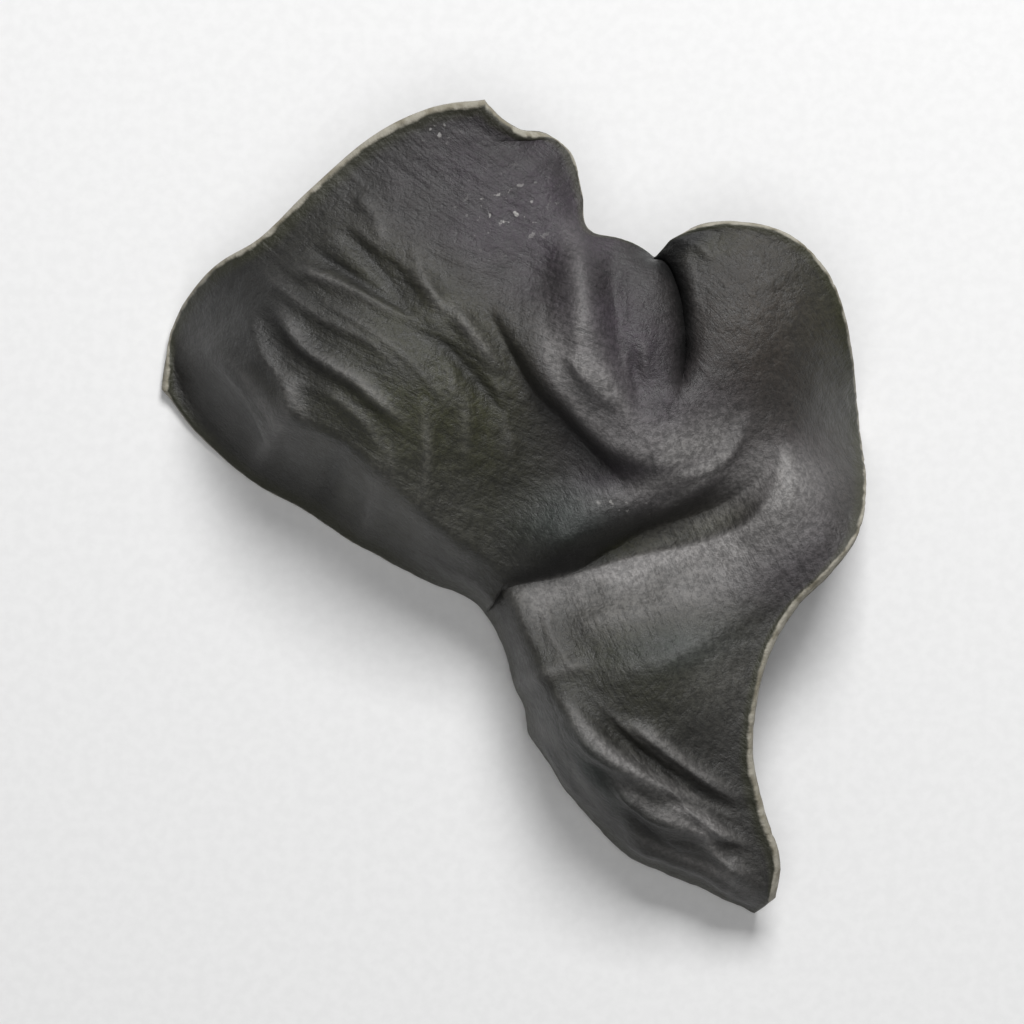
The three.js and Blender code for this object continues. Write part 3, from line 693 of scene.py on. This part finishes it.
# ---- what the material reads from the mesh -----------------------------------------------------
def rim_distance(u, v):
    """How far a point of the upper face lies inside the pale torn rim, below 0 on it."""
    width = across_width(u)
    return np.minimum.reduce([
        (1 - v) * width - read(RIM_WIDTH, u),
        v * width - HEM_RIM_WIDTH,
        u * long_edge.length - SHORT_RIM_WIDTH,
        (1 - u) * long_edge.length,
    ])


def on_all_layers(values, ring_step=0.0):
    """Values of the upper face, and then those of the rings and the underside that follow it."""
    border = values[border_of(*values.shape)]
    rings = [border - ring_step * k for k in range(1, EDGE_RINGS)]
    return np.concatenate([values.ravel(), *rings, values[::2, ::2].ravel()])


def tint_share(name, x, y):
    """How much of a tint a place has, 0 to about 1, with painted highlight on the wrinkles' tops and
    painted shade where they sink.
    """
    spots, bands = TINTS[name]
    share = sum(dome_height(spot, x, y) for spot in spots)
    share = share + sum(line_height(band, x, y, bell) for band in bands)
    if name in RIDGE_TINTS:
        wrinkles = sum(line_height(wrinkle, x, y, bell) for wrinkle in WRINKLES)
        share = share + np.clip(RIDGE_TINTS[name] * wrinkles, 0, 1)
    return share


def paint(mesh, points, u, v):
    """Stores the mm from the pale rim, the tints with their painted highlight and painted shade, and the
    place along and across the blade.
    """
    x, y, z = points.T
    shares = {name: tint_share(name, x, y) for name in TINTS}
    shares["edge_mm"] = on_all_layers(rim_distance(u, v), RING_STEP)
    for name, values in shares.items():
        mesh.attributes.new(name, "FLOAT", "POINT").data.foreach_set("value", values)
    grain = [on_all_layers(along_blade(u)), on_all_layers(v * across_width(u)), z]
    layer = mesh.attributes.new("grain_mm", "FLOAT_VECTOR", "POINT")
    layer.data.foreach_set("vector", np.column_stack(grain).ravel())


# ---- materials ---------------------------------------------------------------------------------
class Graph:
    """A material's nodes: add() makes one, sets its values and links what is another's output."""

    def __init__(self, name):
        self.material = bpy.data.materials.new(name)
        self.material.use_nodes = True
        self.tree = self.material.node_tree
        self.shader = self.tree.nodes["Principled BSDF"]

    def put(self, socket, value):
        if isinstance(value, bpy.types.NodeSocket):
            self.tree.links.new(value, socket)
        else:
            socket.default_value = value

    def add(self, kind, inputs=(), **settings):
        node = self.tree.nodes.new("ShaderNode" + kind)
        for name, value in settings.items():
            setattr(node, name, value)
        for name, value in dict(inputs).items():
            self.put(node.inputs[name], value)
        return node

    def math(self, operation, a, b=0.0):
        return self.add("Math", {0: a, 1: b}, operation=operation).outputs[0]

    def span(self, value, low, high, to_low=0.0, to_high=1.0):
        found = self.add("MapRange", {"Value": value, "From Min": low, "From Max": high,
                                      "To Min": to_low, "To Max": to_high},
                         interpolation_type="SMOOTHSTEP")
        return found.outputs["Result"]

    def share(self, name):
        return self.add("Attribute", attribute_name=name).outputs["Fac"]

    def noise(self, vector, scale, detail=3.0, roughness=0.5):
        found = self.add("TexNoise", {"Vector": vector, "Scale": scale, "Detail": detail,
                                      "Roughness": roughness})
        return found.outputs["Fac"]

    def blend(self, share, a, b):
        found = self.add("Mix", {"Factor": share}, data_type="RGBA")
        self.put(found.inputs[6], a)
        self.put(found.inputs[7], b)
        return found.outputs[2]


CHARCOAL = (0.028, 0.027, 0.024, 1)
INK = (0.010, 0.010, 0.010, 1)
OLIVE = (0.040, 0.042, 0.014, 1)
TINT_COLOURS = {
    "olive": OLIVE,
    "umber": (0.040, 0.033, 0.026, 1),
    "violet": (0.040, 0.031, 0.040, 1),
    "teal": (0.018, 0.034, 0.032, 1),
    # pale dust with painted highlight
    "dust_and_highlight": (0.252, 0.242, 0.236, 1),
}
SPECK = (0.30, 0.29, 0.28, 1)
TORN = (0.35, 0.33, 0.275, 1)
TORN_SHADE = (0.22, 0.20, 0.15, 1)
TORN_ROUGHNESS = 0.8
# Swells of each noise for a metre, and of the streaks for a millimetre along, across and up.
CLOUDS, PATCHES, FRAY, FLECKS, PEBBLES = 160, 420, 700, 1500, 2000
STREAKS = (0.12, 2.2, 0.2)
# painted shade takes the last of these inks, in the folds
PEBBLE_INK, STREAK_INK, PAINTED_SHADE_INK = 0.45, 0.28, 0.9      # most of the ink in each
MARGIN, MARGIN_OLIVE = (1.6, 0.3), 0.4      # mm from the rim where olive starts and is strongest
# strength, and height in metres
BUMPS = {"streaks": (0.5, 0.0002), "patches": (0.5, 0.0003), "pebbles": (0.8, 0.0002)}
SPECULAR = 0.5


def kelp_material():
    g = Graph("dried_kelp")
    place = g.add("TexCoord").outputs["Object"]
    grain = g.add("Attribute", attribute_name="grain_mm").outputs["Vector"]
    stretched = g.add("Mapping", {"Vector": grain, "Scale": STREAKS}).outputs[0]
    noises = {
        "streaks": g.noise(stretched, 1.0, 5, 0.6),
        "patches": g.noise(place, PATCHES, 4, 0.6),
        "pebbles": g.noise(place, PEBBLES, 4, 0.7),
    }
    fringe = g.noise(place, FRAY, 4)
    fray = g.math("ADD", g.share("edge_mm"), g.span(fringe, 0.3, 0.7, -0.1, 0.1))
    torn = g.span(fray, 0.2, -0.1)
    torn_colour = g.blend(g.span(fringe, 0.4, 0.65), TORN, TORN_SHADE)
    face = g.blend(g.span(fray, *MARGIN, 0, MARGIN_OLIVE), face_colour(g, place, noises), OLIVE)
    g.put(g.shader.inputs["Base Color"], g.blend(torn, face, torn_colour))
    rough = g.math("ADD", g.span(noises["patches"], 0.35, 0.7, 0.44, 0.52),
                   g.span(noises["pebbles"], 0.3, 0.7, -0.06, 0.08))
    torn_rough = g.math("MULTIPLY", torn, TORN_ROUGHNESS)
    g.put(g.shader.inputs["Roughness"], g.math("MAXIMUM", rough, torn_rough))
    g.put(g.shader.inputs["Normal"], bumped(g, noises))
    g.shader.inputs["Specular IOR Level"].default_value = SPECULAR
    return g.material


def face_colour(g, place, noises):
    """Charcoal under clouded tints, one of them pale dust with painted highlight, with ink between the
    pebbles and in the streaks, and painted shade in the folds.
    """
    clouds = g.span(g.noise(place, CLOUDS, 4), 0.3, 0.65, 0.55, 1.1)
    colour = CHARCOAL
    # the pale tint is dust on the ridges with painted highlight
    for name, tint in TINT_COLOURS.items():
        colour = g.blend(g.math("MULTIPLY", g.share(name), clouds), colour, tint)
    colour = g.blend(g.span(noises["pebbles"], 0.62, 0.4, 0, PEBBLE_INK), colour, INK)
    colour = g.blend(g.span(noises["streaks"], 0.48, 0.30, 0, STREAK_INK), colour, INK)
    # painted shade in the folds, the slit and the pocket
    colour = g.blend(g.math("MULTIPLY", g.share("painted_shade"), PAINTED_SHADE_INK), colour, INK)
    flecks = g.span(g.noise(place, FLECKS, 2), 0.62, 0.7)
    return g.blend(g.math("MULTIPLY", g.share("speck"), flecks), colour, SPECK)


def bumped(g, noises):
    """The face's direction, with one bump laid over the other."""
    inputs = {}
    for name, (strength, distance) in BUMPS.items():
        inputs.update({"Height": noises[name], "Strength": strength, "Distance": distance})
        inputs["Normal"] = g.add("Bump", inputs).outputs[0]
    return inputs["Normal"]


# ---- floor, lights and camera ------------------------------------------------------------------
FLOOR_SIZE = 3.0
FLOOR_PALE = (0.83, 0.83, 0.83, 1)
FLOOR_SHADE = (0.80, 0.80, 0.80, 1)
FLOOR_MOTTLE = 900
FLOOR_ROUGHNESS = 0.7
LIGHTS = {                  # place, size and power
    "key": ((0.10, 0.42, 0.50), 0.25, 4.1),
    "overhead": ((0.0, -0.08, 0.8), 0.5, 1.9),
}
WORLD_STRENGTH = 0.1
VIEW_SHARE = 0.8            # of the picture that the sheet's longer side takes
LENS = 200.0


def floor_material():
    g = Graph("pale_floor")
    place = g.add("TexCoord").outputs["Object"]
    mottle = g.span(g.noise(place, FLOOR_MOTTLE, 3), 0.3, 0.7)
    g.put(g.shader.inputs["Base Color"], g.blend(mottle, FLOOR_SHADE, FLOOR_PALE))
    g.shader.inputs["Roughness"].default_value = FLOOR_ROUGHNESS
    return g.material


def build_floor():
    bpy.ops.mesh.primitive_plane_add(size=FLOOR_SIZE)
    floor = bpy.context.object
    floor.name = "floor"
    floor.data.materials.append(floor_material())


def area_light(name, place, size, power):
    """A square light that shines at the middle of the sheet's foot."""
    data = bpy.data.lights.new(name, "AREA")
    data.size = size
    data.energy = power
    light = bpy.data.objects.new(name, data)
    light.location = place
    light.rotation_euler = (-Vector(place)).to_track_quat("-Z", "Y").to_euler()
    bpy.context.collection.objects.link(light)


def build_lights():
    for name, (place, size, power) in LIGHTS.items():
        area_light(name, place, size, power)
    world = bpy.data.worlds.new("studio")
    bpy.context.scene.world = world
    world.use_nodes = True
    background = world.node_tree.nodes["Background"]
    background.inputs["Color"].default_value = (1, 1, 1, 1)
    background.inputs["Strength"].default_value = WORLD_STRENGTH


def build_camera(low, high):
    """Looks straight down at the middle of the solid's box."""
    data = bpy.data.cameras.new("camera")
    data.lens = LENS
    camera = bpy.data.objects.new("camera", data)
    size = high - low
    span = max(size.x, size.y) / VIEW_SHARE
    centre = (low + high) / 2
    camera.location = centre + Vector((0, 0, span * LENS / data.sensor_width))
    bpy.context.collection.objects.link(camera)
    bpy.context.scene.camera = camera


sheet = build_sheet()
sheet.data.materials.append(kelp_material())
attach(sheet, "root")
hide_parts(NODE)
build_floor()
build_lights()
build_camera(cad_low, cad_high)
bpy.context.scene.view_settings.view_transform = "Standard"
